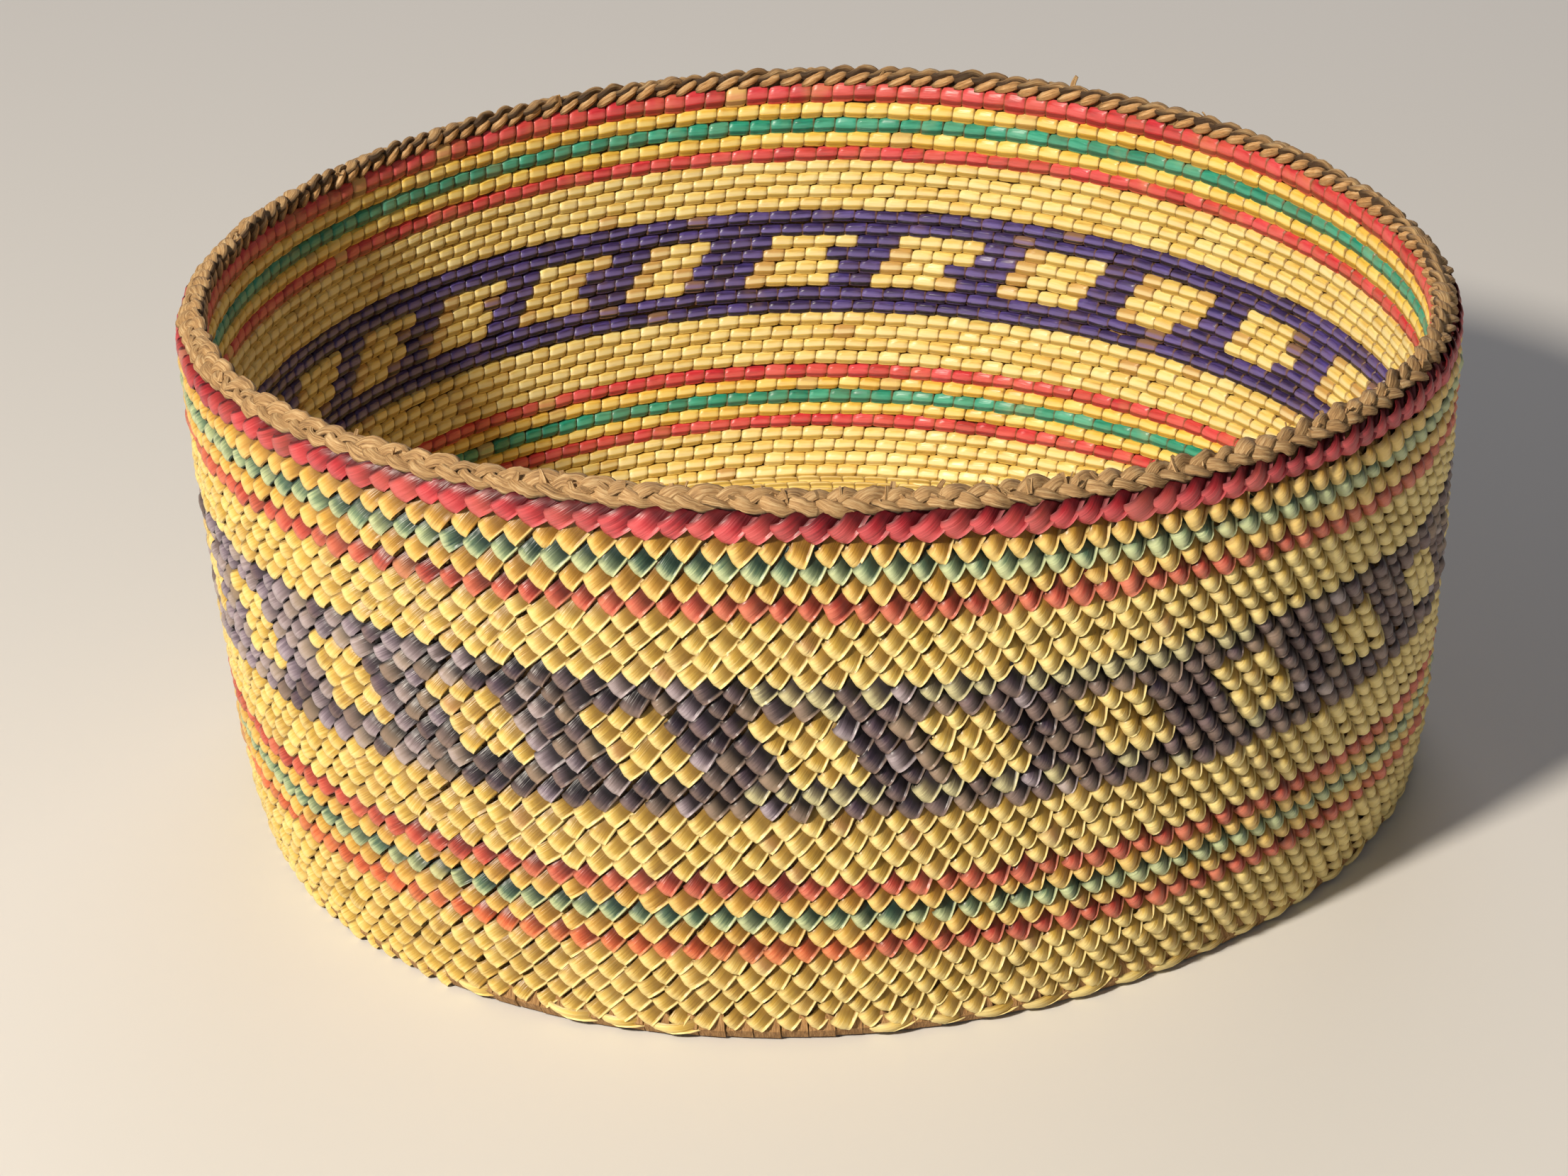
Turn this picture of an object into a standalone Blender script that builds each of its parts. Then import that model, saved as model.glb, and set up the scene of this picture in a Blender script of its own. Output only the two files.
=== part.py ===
# Small round Makah trinket basket of wrapped twining: cedar bark warps, bear grass wefts.
# Metres, +Z up. The origin is the middle of the footprint, on the surface it stands on.
# +X is the right side of the basket, and the side seen first faces -Y.

from math import atan2, cos, hypot, pi, radians, sin, sqrt

import bmesh
import bpy
from mathutils import Vector

# Turning
SEGMENTS = 32
WALL_LEVELS = 4

# Wall, from the foot up
FOOT_RADIUS = 0.0592
KNEE_RADIUS = 0.0602
KNEE_HEIGHT = 0.0065
RIM_RADIUS = 0.0619
BELLY = 0.0004
GAP = 0.0003
WRAP_THICKNESS = 0.0009
WARP_THICKNESS = 0.0007
CORE_THICKNESS = 0.0008
ROW_GROOVE = 0.00025

# Rows: one turn of the weft each
ROW_HEIGHT = 0.00154
UPPER_RED_HEIGHT = 0.0017
UPPER_GOLD_HEIGHT = 0.0019
UPPER_GREEN_HEIGHT = 0.00178
TOP_RED_HEIGHT = 0.0023
BRAID_HEIGHT = 0.0018

# Floor, from the table up
FLOOR_LIFT = 0.0003
ROUND_THICKNESS = 0.0007
ROUND_COUNT = 3
LINING_FLOOR_THICKNESS = 0.0007

# Plaited middle of the floor
STRIP_WIDTH = 0.0044
STRIP_SPACE = 0.0012
STRIP_THICKNESS = 0.0005
STRIPS_EACH_WAY = 7
PLAIT_RADIUS = 0.020
PLAIT_TUCK = 0.0045

# The hand-made shape: how far rim and foot stray from a circle, as shares of the radius
RIM_OVAL = 0.0145
RIM_OVAL_AXIS = radians(-7)
RIM_EGG = 0.0190
RIM_EGG_AXIS = radians(-26)
FOOT_OVAL = 0.0104
FOOT_OVAL_AXIS = radians(78)
FOOT_EGG = 0.0188
FOOT_EGG_AXIS = radians(1)

# How the rim leans and waves, and how the rows between sag to one side and drift in height
RIM_LEAN = 0.0024
RIM_LEAN_WAY = radians(-105)
RIM_WAVE = 0.0006
RIM_WAVE_AXIS = radians(59)
ROW_SAG = 0.0004
ROW_SAG_WAY = radians(124)
ROW_DRIFT = 0.0003

# name, colour, rows, height of a row
COURSES = [
    ("natural_low_courses", "natural", 5, ROW_HEIGHT),
    ("red_low_course_lower", "red", 1, ROW_HEIGHT),
    ("gold_low_course_lower", "gold", 1, ROW_HEIGHT),
    ("green_low_course", "green", 1, ROW_HEIGHT),
    ("gold_low_course_upper", "gold", 1, ROW_HEIGHT),
    ("red_low_course_upper", "red", 1, ROW_HEIGHT),
    ("natural_middle_courses", "natural", 4, ROW_HEIGHT),
    ("purple_lower_courses", "purple", 2, ROW_HEIGHT),
    ("block_pattern_courses", "block", 4, ROW_HEIGHT),
    ("purple_upper_courses", "purple", 2, ROW_HEIGHT),
    ("natural_high_courses", "natural", 4, ROW_HEIGHT),
    ("red_high_course", "red", 1, UPPER_RED_HEIGHT),
    ("gold_high_course_lower", "gold", 1, UPPER_GOLD_HEIGHT),
    ("green_high_course", "green", 1, UPPER_GREEN_HEIGHT),
    ("gold_high_course_upper", "gold", 1, UPPER_GOLD_HEIGHT),
    ("red_top_course", "red", 1, TOP_RED_HEIGHT),
]

# Heights that follow from the sizes above
ROUND_TOP = FLOOR_LIFT + ROUND_THICKNESS
PLAIT_BOTTOM = ROUND_TOP + GAP
PLAIT_MIDDLE = PLAIT_BOTTOM + STRIP_THICKNESS + GAP / 2
PLAIT_TOP = PLAIT_MIDDLE + STRIP_THICKNESS + GAP / 2
WARP_FLOOR_BOTTOM = PLAIT_MIDDLE - WARP_THICKNESS / 2
WARP_FLOOR_TOP = PLAIT_MIDDLE + WARP_THICKNESS / 2
LINING_FLOOR_BOTTOM = max(PLAIT_TOP, WARP_FLOOR_TOP) + GAP
LINING_FLOOR_TOP = LINING_FLOOR_BOTTOM + LINING_FLOOR_THICKNESS
FOOT_TOP = WARP_FLOOR_BOTTOM - GAP
WALL_BOTTOM = FOOT_TOP + GAP
WALL_TOP = WALL_BOTTOM + sum(rows * height for _, _, rows, height in COURSES)

# Depths of the layers, from the outside of the wall in
WARP_DEPTH = WRAP_THICKNESS + GAP
CORE_DEPTH = WARP_DEPTH + WARP_THICKNESS + GAP
WALL_THICKNESS = CORE_DEPTH + CORE_THICKNESS

COLOURS = {
    "natural": ((0.62, 0.47, 0.14, 1), 0.55),
    "gold": ((0.66, 0.42, 0.08, 1), 0.5),
    "red": ((0.52, 0.09, 0.07, 1), 0.5),
    "green": ((0.16, 0.27, 0.19, 1), 0.55),
    "purple": ((0.12, 0.08, 0.14, 1), 0.55),
    "block": ((0.55, 0.40, 0.16, 1), 0.55),
    "cedar": ((0.30, 0.15, 0.07, 1), 0.75),
    "braid": ((0.45, 0.31, 0.17, 1), 0.75),
}


def clear_scene():
    for thing in list(bpy.data.objects):
        bpy.data.objects.remove(thing, do_unlink=True)


def make_materials():
    made = {}
    for name, (colour, roughness) in COLOURS.items():
        material = bpy.data.materials.new(name)
        material.use_nodes = True
        shader = material.node_tree.nodes["Principled BSDF"]
        shader.inputs["Base Color"].default_value = colour
        shader.inputs["Roughness"].default_value = roughness
        shader.inputs["Metallic"].default_value = 0.0
        material.diffuse_color = colour
        made[name] = material
    return made


def wall_radius(height):
    """Outside radius of the round wall at a height, before the hand-made shape."""
    points = [(0.0, FOOT_RADIUS), (KNEE_HEIGHT, KNEE_RADIUS), (WALL_TOP, RIM_RADIUS)]
    for (low, inner), (high, outer) in zip(points, points[1:]):
        if height <= high:
            return inner + (outer - inner) * (height - low) / (high - low)
    return RIM_RADIUS


def row_levels():
    """Bottom and top of every row of the wall, from the foot up."""
    levels = []
    bottom = WALL_BOTTOM
    for _, _, rows, height in COURSES:
        for _ in range(rows):
            levels.append((bottom, bottom + height))
            bottom += height
    return levels


def hand_shape(angle, radius, height):
    """Where a point of the truly round basket sits on the uneven one."""
    share = height / WALL_TOP
    rim = RIM_OVAL * cos(2 * (angle - RIM_OVAL_AXIS))
    rim += RIM_EGG * cos(3 * (angle - RIM_EGG_AXIS))
    foot = FOOT_OVAL * cos(2 * (angle - FOOT_OVAL_AXIS))
    foot += FOOT_EGG * cos(3 * (angle - FOOT_EGG_AXIS))
    reach = min(1.0, radius / FOOT_RADIUS) ** 2
    grown = radius * (1 + reach * (share * rim + (1 - share) * foot))
    grown += reach * BELLY * sin(pi * share)
    lift = RIM_LEAN * share * cos(angle - RIM_LEAN_WAY)
    lift += RIM_WAVE * share * cos(2 * (angle - RIM_WAVE_AXIS))
    lift += ROW_SAG * sin(pi * share) * cos(angle - ROW_SAG_WAY)
    lift -= ROW_DRIFT * sin(2 * pi * share)
    return Vector((grown * cos(angle), grown * sin(angle), height + reach * lift))


def footprint_middle():
    """Middle of the box round foot and wall, which becomes the origin."""
    turns = [2 * pi * step / SEGMENTS for step in range(SEGMENTS)]
    points = [hand_shape(turn, FOOT_RADIUS, FOOT_TOP / 2) for turn in turns]
    for low, high in row_levels():
        ridge = (low + high) / 2
        points += [hand_shape(turn, wall_radius(ridge), ridge) for turn in turns]
    across = [point.x for point in points]
    along = [point.y for point in points]
    return Vector(((min(across) + max(across)) / 2, (min(along) + max(along)) / 2, 0))


def settle(mesh, middle):
    """Moves every vertex from the truly round basket to the uneven one."""
    for vertex in mesh.verts:
        flat = vertex.co
        angle = atan2(flat.y, flat.x)
        vertex.co = hand_shape(angle, hypot(flat.x, flat.y), flat.z) - middle


def finish(name, mesh, material, smooth_angle=25):
    bmesh.ops.recalc_face_normals(mesh, faces=mesh.faces[:])
    data = bpy.data.meshes.new(name)
    mesh.to_mesh(data)
    mesh.free()
    data.materials.append(material)
    data.shade_smooth()
    data.set_sharp_from_angle(angle=radians(smooth_angle))
    piece = bpy.data.objects.new(name, data)
    bpy.context.scene.collection.objects.link(piece)
    return piece


def turned(name, profile, material, middle):
    """A closed profile of radius and height, spun round the basket's axis."""
    mesh = bmesh.new()
    corners = [mesh.verts.new((radius, 0, height)) for radius, height in profile]
    edges = [
        mesh.edges.new((corners[index - 1], corner))
        for index, corner in enumerate(corners)
    ]
    bmesh.ops.spin(
        mesh,
        geom=corners + edges,
        cent=(0, 0, 0),
        axis=(0, 0, 1),
        dvec=(0, 0, 0),
        angle=2 * pi,
        steps=SEGMENTS,
        use_duplicate=False,
    )
    bmesh.ops.remove_doubles(mesh, verts=mesh.verts[:], dist=0.000001)
    settle(mesh, middle)
    return finish(name, mesh, material)


def course_profile(bottom, rows, height):
    """The wrapped face of one or more rows: plain against the warps, a ridge to each row."""
    top = bottom + rows * height - GAP
    bends = [KNEE_HEIGHT] if bottom < KNEE_HEIGHT < top else []
    profile = [
        (wall_radius(level) - WRAP_THICKNESS, level) for level in [top, *bends, bottom]
    ]
    profile.append((wall_radius(bottom) - ROW_GROOVE, bottom))
    for row in range(rows):
        low = bottom + row * height
        high = min(low + height, top)
        ridge = (low + high) / 2
        profile.append((wall_radius(ridge), ridge))
        profile.append((wall_radius(high) - ROW_GROOVE, high))
    return profile


def build_courses(materials, middle):
    bottom = WALL_BOTTOM
    for name, colour, rows, height in COURSES:
        profile = course_profile(bottom, rows, height)
        turned(name, profile, materials[colour], middle)
        bottom += rows * height


def layer_levels(bottom):
    """Heights at which a plain layer of the wall bends, so that it follows the courses."""
    top = WALL_TOP - GAP
    step = (top - KNEE_HEIGHT) / WALL_LEVELS
    return [bottom] + [KNEE_HEIGHT + step * level for level in range(WALL_LEVELS)] + [top]


def build_warps(materials, middle):
    """The close-set warps: up from the plaited middle, out along the floor, up the wall."""
    hole = PLAIT_RADIUS + GAP
    profile = [(hole, WARP_FLOOR_TOP), (hole, WARP_FLOOR_BOTTOM)]
    for height in layer_levels(WARP_FLOOR_BOTTOM):
        profile.append((wall_radius(height) - WARP_DEPTH, height))
    for height in reversed(layer_levels(WARP_FLOOR_TOP)):
        profile.append((wall_radius(height) - WARP_DEPTH - WARP_THICKNESS, height))
    turned("cedar_bark_warps", profile, materials["cedar"], middle)


def build_lining(materials, middle):
    """The passive weft inside the warps: a floor, and a ridge up the wall for each turn."""
    hole = PLAIT_RADIUS - PLAIT_TUCK
    profile = [(hole, LINING_FLOOR_TOP), (hole, LINING_FLOOR_BOTTOM)]
    for height in layer_levels(LINING_FLOOR_BOTTOM):
        profile.append((wall_radius(height) - CORE_DEPTH, height))
    top = WALL_TOP - GAP
    face = WALL_THICKNESS - ROW_GROOVE
    profile.append((wall_radius(top) - face, top))
    for low, high in reversed(row_levels()):
        ridge = (low + high) / 2
        if ridge > LINING_FLOOR_TOP + ROW_GROOVE:
            profile.append((wall_radius(ridge) - WALL_THICKNESS, ridge))
        if low > LINING_FLOOR_TOP + ROW_GROOVE:
            profile.append((wall_radius(low) - face, low))
    profile.append((wall_radius(LINING_FLOOR_TOP) - face, LINING_FLOOR_TOP))
    turned("passive_weft_lining", profile, materials["natural"], middle)


def build_foot(materials, middle):
    """The twined edge that the basket stands on, flat beneath."""
    inner = FOOT_RADIUS - WALL_THICKNESS
    profile = [
        (inner, FOOT_TOP),
        (inner, 0),
        (FOOT_RADIUS - WRAP_THICKNESS / 2, 0),
        (FOOT_RADIUS, FOOT_TOP / 2),
        (FOOT_RADIUS - ROW_GROOVE, FOOT_TOP),
    ]
    turned("foot_twining", profile, materials["natural"], middle)


def build_floor_rounds(materials, middle):
    """Twined rounds under the floor, from the plait out to the foot."""
    start = PLAIT_RADIUS - PLAIT_TUCK
    end = FOOT_RADIUS - WALL_THICKNESS - GAP
    step = (end - start + GAP) / ROUND_COUNT
    for number in range(ROUND_COUNT):
        inner = start + number * step
        outer = inner + step - GAP
        profile = [
            (inner, ROUND_TOP),
            (inner + ROW_GROOVE, FLOOR_LIFT),
            (outer - ROW_GROOVE, FLOOR_LIFT),
            (outer, ROUND_TOP),
        ]
        turned(f"floor_rounds_{number + 1}", profile, materials["natural"], middle)


def build_braid(materials, middle):
    """The plaited edge on top of the wall, over the ends of the warps."""
    middle_radius = RIM_RADIUS - WALL_THICKNESS / 2
    half = WALL_THICKNESS / 2
    top = WALL_TOP + BRAID_HEIGHT
    ridge = WALL_TOP + BRAID_HEIGHT / 2
    profile = [
        (middle_radius - half, ridge),
        (middle_radius - half * 0.6, WALL_TOP),
        (middle_radius + half * 0.6, WALL_TOP),
        (middle_radius + half, ridge),
        (middle_radius + half * 0.6, top),
        (middle_radius - half * 0.6, top),
    ]
    turned("rim_braid", profile, materials["braid"], middle)


def plait_level(position, parity):
    """Height of a strip above the plait's middle: level over each crossing, sloped between."""
    pitch = STRIP_WIDTH + STRIP_SPACE
    lift = (STRIP_THICKNESS + GAP) / 2
    crossing = round(position / pitch)
    away = position - crossing * pitch
    side = 1 if (crossing + parity) % 2 == 0 else -1
    if abs(away) <= STRIP_WIDTH / 2:
        return side * lift
    past = (abs(away) - STRIP_WIDTH / 2) / STRIP_SPACE
    return side * lift * (1 - 2 * past)


def build_strip(name, number, crosswise, material, middle):
    """One cedar bark strip of the plait, over one and under one."""
    pitch = STRIP_WIDTH + STRIP_SPACE
    offset = number * pitch
    half_length = sqrt(PLAIT_RADIUS**2 - (abs(offset) + STRIP_WIDTH / 2) ** 2)
    stations = {-half_length, half_length}
    reach = STRIPS_EACH_WAY // 2 + 1
    for crossing in range(-reach, reach + 1):
        for edge in (-STRIP_WIDTH / 2, STRIP_WIDTH / 2):
            place = crossing * pitch + edge
            if abs(place) < half_length - GAP:
                stations.add(place)
    mesh = bmesh.new()
    rings = []
    for place in sorted(stations):
        level = PLAIT_MIDDLE + plait_level(place, number + crosswise)
        ring = []
        for side, lift in ((-1, -1), (1, -1), (1, 1), (-1, 1)):
            across = offset + side * STRIP_WIDTH / 2
            height = level + lift * STRIP_THICKNESS / 2
            spot = (across, place, height) if crosswise else (place, across, height)
            ring.append(mesh.verts.new(spot))
        rings.append(ring)
    for before, after in zip(rings, rings[1:]):
        for corner in range(4):
            mesh.faces.new(
                (before[corner - 1], before[corner], after[corner], after[corner - 1])
            )
    mesh.faces.new(rings[0])
    mesh.faces.new(rings[-1])
    settle(mesh, middle)
    finish(name, mesh, material, smooth_angle=20)


def build_plait(materials, middle):
    half = STRIPS_EACH_WAY // 2
    for crosswise in (0, 1):
        way = "front_to_back" if crosswise else "left_to_right"
        for number in range(-half, half + 1):
            name = f"plait_strip_{way}_{number + half + 1}"
            build_strip(name, number, crosswise, materials["cedar"], middle)


def main():
    clear_scene()
    materials = make_materials()
    middle = footprint_middle()
    build_foot(materials, middle)
    build_floor_rounds(materials, middle)
    build_plait(materials, middle)
    build_warps(materials, middle)
    build_lining(materials, middle)
    build_courses(materials, middle)
    build_braid(materials, middle)
    count = sum(
        len(polygon.vertices) - 2
        for thing in bpy.data.objects
        for polygon in thing.data.polygons
    )
    print(f"{len(bpy.data.objects)} pieces, {count} triangles, wall {WALL_TOP:.5f} m")


main()
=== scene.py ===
# Small round Makah trinket basket of wrapped twining: every stitch, warp and braid strand.
# Metres, +Z up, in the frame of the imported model. Values named with Mm are in millimetres.
from math import cos, pi, radians, sin

import bpy
import numpy as np
from mathutils import Matrix, Vector


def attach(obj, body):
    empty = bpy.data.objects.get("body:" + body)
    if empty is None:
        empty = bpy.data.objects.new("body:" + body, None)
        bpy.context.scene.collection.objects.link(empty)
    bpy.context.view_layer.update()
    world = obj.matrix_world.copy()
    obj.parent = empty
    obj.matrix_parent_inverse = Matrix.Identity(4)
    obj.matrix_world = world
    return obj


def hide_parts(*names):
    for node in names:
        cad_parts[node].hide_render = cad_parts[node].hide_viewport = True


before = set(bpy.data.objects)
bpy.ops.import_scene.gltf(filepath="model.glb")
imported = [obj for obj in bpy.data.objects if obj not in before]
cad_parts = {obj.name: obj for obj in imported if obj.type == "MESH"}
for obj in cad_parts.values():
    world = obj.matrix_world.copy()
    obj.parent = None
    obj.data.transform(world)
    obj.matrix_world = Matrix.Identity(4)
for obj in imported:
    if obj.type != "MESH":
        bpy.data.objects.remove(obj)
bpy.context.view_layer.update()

mm = 0.001
chance = np.random.default_rng(1907)

# The basket's own shape, as the maker left it
basket = {
    "footRadius": 0.0592,
    "kneeRadius": 0.0602,
    "kneeHeight": 0.0065,
    "rimRadius": 0.0619,
    "belly": 0.0004,
    "wallBottom": 0.0016,
    "footTop": 0.0013,
    "rimOval": (0.0145, radians(-7)),  # the ovals and eggs: share of the radius, and where it swells
    "rimEgg": (0.0190, radians(-26)),
    "footOval": (0.0104, radians(78)),
    "footEgg": (0.0188, radians(1)),
    "rimLean": (0.0024, radians(-105)),  # lean, wave and sag: how far up, and where
    "rimWave": (0.0006, radians(59)),
    "rowSag": (0.0004, radians(124)),
    "rowDrift": 0.0003,
    "warps": 156,
    "warpLean": 0.455,  # how far a warp leans in one row, in warps
    "stitchMm": 2.5,
}

# From the foot up: node, dye, rows, height of a row
courses = [
    ("natural_low_courses", "natural", 5, 0.00154),
    ("red_low_course_lower", "lowRed", 1, 0.00154),
    ("gold_low_course_lower", "gold", 1, 0.00154),
    ("green_low_course", "green", 1, 0.00154),
    ("gold_low_course_upper", "gold", 1, 0.00154),
    ("red_low_course_upper", "lowRed", 1, 0.00154),
    ("natural_middle_courses", "natural", 4, 0.00154),
    ("purple_lower_courses", "purple", 2, 0.00154),
    ("block_pattern_courses", "block", 4, 0.00154),
    ("purple_upper_courses", "purple", 2, 0.00154),
    ("natural_high_courses", "natural", 4, 0.00154),
    ("red_high_course", "lowRed", 1, 0.0017),
    ("gold_high_course_lower", "gold", 1, 0.0019),
    ("green_high_course", "green", 1, 0.00178),
    ("gold_high_course_upper", "gold", 1, 0.0019),
    ("red_top_course", "red", 1, 0.0023),
]
rowCount = sum(rows for _, _, rows, _ in courses)
wallTop = basket["wallBottom"] + sum(rows * height for _, _, rows, height in courses)
warpPitch = 2 * pi / basket["warps"]


def rowMiddles():  # height of the middle of each row, from the foot up
    bottom = basket["wallBottom"]
    middles = []
    for _, _, rows, height in courses:
        for row in range(rows):
            middles.append(bottom + height / 2)
            bottom += height
    return middles


def wallRadius(height):  # outside of the wall, before the uneven shape
    heights = [0, basket["kneeHeight"], wallTop]
    return np.interp(height, heights, [basket["footRadius"], basket["kneeRadius"], basket["rimRadius"]])


def swell(name, lobes, angle, share=1):
    most, where = basket[name]
    return most * share * np.cos(lobes * (angle - where))


def unevenShape(angle, radius, height):  # from the truly round basket to the real one
    share = height / wallTop
    rim = swell("rimOval", 2, angle) + swell("rimEgg", 3, angle)
    foot = swell("footOval", 2, angle) + swell("footEgg", 3, angle)
    reach = np.minimum(1, radius / basket["footRadius"]) ** 2
    grown = radius * (1 + reach * (share * rim + (1 - share) * foot))
    grown = grown + reach * basket["belly"] * np.sin(pi * share)
    lift = swell("rimLean", 1, angle, share) + swell("rimWave", 2, angle, share)
    lift = lift + swell("rowSag", 1, angle, np.sin(pi * share))
    lift = lift - basket["rowDrift"] * np.sin(2 * pi * share)
    return np.stack([grown * np.cos(angle), grown * np.sin(angle), height + reach * lift], -1)


def ringTurns(count):
    return np.arange(count) * 2 * pi / count


def footprintMiddle():  # middle of the box round foot and wall, which is the origin
    turns = ringTurns(32)
    spots = [unevenShape(turns, basket["footRadius"], basket["footTop"] / 2)]
    for ridge in rowMiddles():
        spots.append(unevenShape(turns, wallRadius(ridge), ridge))
    spots = np.concatenate(spots)
    middle = (spots.min(0) + spots.max(0)) / 2
    return np.array([middle[0], middle[1], 0])


middle = footprintMiddle()


def onWall(angle, outMm, height):  # so far past the outside of the wall
    return unevenShape(angle, wallRadius(height) + outMm * mm, height) - middle


# A hand doesn't space its stitches evenly: coarser in front, finer behind
spacing = {
    "phase": -0.07,
    "once": (radians(-1.908), radians(2.362)),
    "twice": (radians(1.623), radians(0.370)),
}


def handAngle(turn):  # turn runs evenly from the front, the angle as the hand spaced it
    uneven = spacing["once"][0] * np.cos(turn) + spacing["once"][1] * np.sin(turn)
    uneven = uneven + spacing["twice"][0] * np.cos(2 * turn) + spacing["twice"][1] * np.sin(2 * turn)
    return turn + uneven - pi / 2


def frontAngle(turn):  # the same, counted from -270 to 90 degrees, with the front in the middle
    angle = handAngle(turn)
    return np.where(angle > pi / 2, angle - 2 * pi, angle)


# Many pieces are made at once, as arrays of (pieces, places along, places across)
def vary(count, span):  # one value between the two for each piece
    return chance.uniform(*span, count)[:, None, None]


def lengthwise(values):
    return np.array(values)[None, :, None]


def crosswise(values):
    return np.array(values)[None, None, :]


def grainOf(acrossMm, alongMm, shape):  # where a point lies on its leaf, and one chance value for the leaf
    parts = [acrossMm, alongMm, vary(shape[0], (0, 1))]
    return np.stack([np.broadcast_to(part, shape) for part in parts], -1).reshape(shape[0], -1, 3)


# Mesh helpers
def makePiece(name, points, faces, materials, faceMaterial=None, grain=None, fadeAndShade=None, sharp=40):
    mesh = bpy.data.meshes.new(name)
    points = np.asarray(points, np.float32).reshape(-1, 3)
    faces = np.asarray(faces, np.int32).reshape(-1, 4)
    mesh.vertices.add(len(points))
    mesh.vertices.foreach_set("co", points.ravel())
    mesh.loops.add(faces.size)
    mesh.loops.foreach_set("vertex_index", faces.ravel())
    mesh.polygons.add(len(faces))
    mesh.polygons.foreach_set("loop_start", np.arange(0, faces.size, 4, dtype=np.int32))
    if faceMaterial is not None:
        mesh.polygons.foreach_set("material_index", np.asarray(faceMaterial, np.int32).ravel())
    mesh.update(calc_edges=True)
    for material in materials:
        mesh.materials.append(material)
    if grain is not None:
        layer = mesh.attributes.new("grain", "FLOAT_VECTOR", "POINT")
        layer.data.foreach_set("vector", np.asarray(grain, np.float32).ravel())
    if fadeAndShade is not None:
        layer = mesh.attributes.new("fadeAndShade", "FLOAT", "POINT")
        layer.data.foreach_set("value", np.asarray(fadeAndShade, np.float32).ravel())
    mesh.shade_smooth()
    mesh.set_sharp_from_angle(angle=radians(sharp))
    piece = bpy.data.objects.new(name, mesh)
    bpy.context.scene.collection.objects.link(piece)
    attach(piece, "root")
    return piece


def unit(vectors):
    return vectors / (np.linalg.norm(vectors, axis=-1, keepdims=True) + 1e-12)


def manyFaces(faces, pieces, perPiece):
    return (faces[None] + (np.arange(pieces) * perPiece)[:, None, None]).reshape(-1, 4)


def gridFaces(rows, columns, start=0, turned=False):
    index = np.arange(rows * columns).reshape(rows, columns) + start
    quads = np.stack([index[:-1, :-1], index[1:, :-1], index[1:, 1:], index[:-1, 1:]], -1).reshape(-1, 4)
    return quads[:, ::-1] if turned else quads


def solidSheetFaces(rows, columns):  # front grid, then back grid, and the edge between them
    count = rows * columns
    front = gridFaces(rows, columns)
    back = gridFaces(rows, columns, count, turned=True)
    index = np.arange(count).reshape(rows, columns)
    ring = np.concatenate([index[:-1, 0], index[-1, :-1], index[:0:-1, -1], index[0, :0:-1]])
    after = np.roll(ring, -1)
    edge = np.stack([ring, ring + count, after + count, after], -1)
    return np.concatenate([front, back, edge])


def thicken(sheet, thickness):  # sheet is (pieces, rows, columns, 3), and gets its back behind it
    normal = unit(np.cross(np.gradient(sheet, axis=1), np.gradient(sheet, axis=2)))
    pieces = sheet.shape[0]
    back = sheet - normal * thickness
    return np.concatenate([sheet.reshape(pieces, -1, 3), back.reshape(pieces, -1, 3)], 1)


def alongRings(rings, around):  # quads of a tube or ribbon, without its ends
    index = np.arange(rings * around).reshape(rings, around)
    after = np.roll(index, -1, axis=1)
    return index, np.stack([index[:-1], after[:-1], after[1:], index[1:]], -1).reshape(-1, 4)


def tubeFaces(rings, around):
    index, quads = alongRings(rings, around)
    caps = []
    for ring, turned in ((index[0], True), (index[-1], False)):
        for step in range(around // 2 - 1):
            quad = [ring[step], ring[step + 1], ring[around - 2 - step], ring[around - 1 - step]]
            caps.append(quad[::-1] if turned else quad)
    return np.concatenate([quads, np.array(caps)])


def ribbonFaces(stations):
    index, quads = alongRings(stations, 4)
    return np.concatenate([quads, [index[0][::-1], index[-1]]])


def ribbonPoints(centre, across, normal, half, thick):  # four corners at each station
    corners = []
    for side, lift in ((-1, -0.5), (1, -0.5), (1, 0.5), (-1, 0.5)):
        corners.append(centre + across * (side * half)[..., None] + normal * (lift * thick))
    return np.stack(corners, 2)


def ribbonGrain(points, widthMm, alongMm, seed):
    grain = np.zeros(points.shape)
    grain[..., 0] = np.array([0, widthMm, widthMm, 0])
    grain[..., 1] = alongMm[None, :, None]
    grain[..., 2] = seed
    return grain


def frameAlong(path, outward):  # side and face directions of a flat strip along a path
    along = unit(np.gradient(path, axis=1))
    across = unit(np.cross(along, outward))
    return across, np.cross(across, along)


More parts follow.
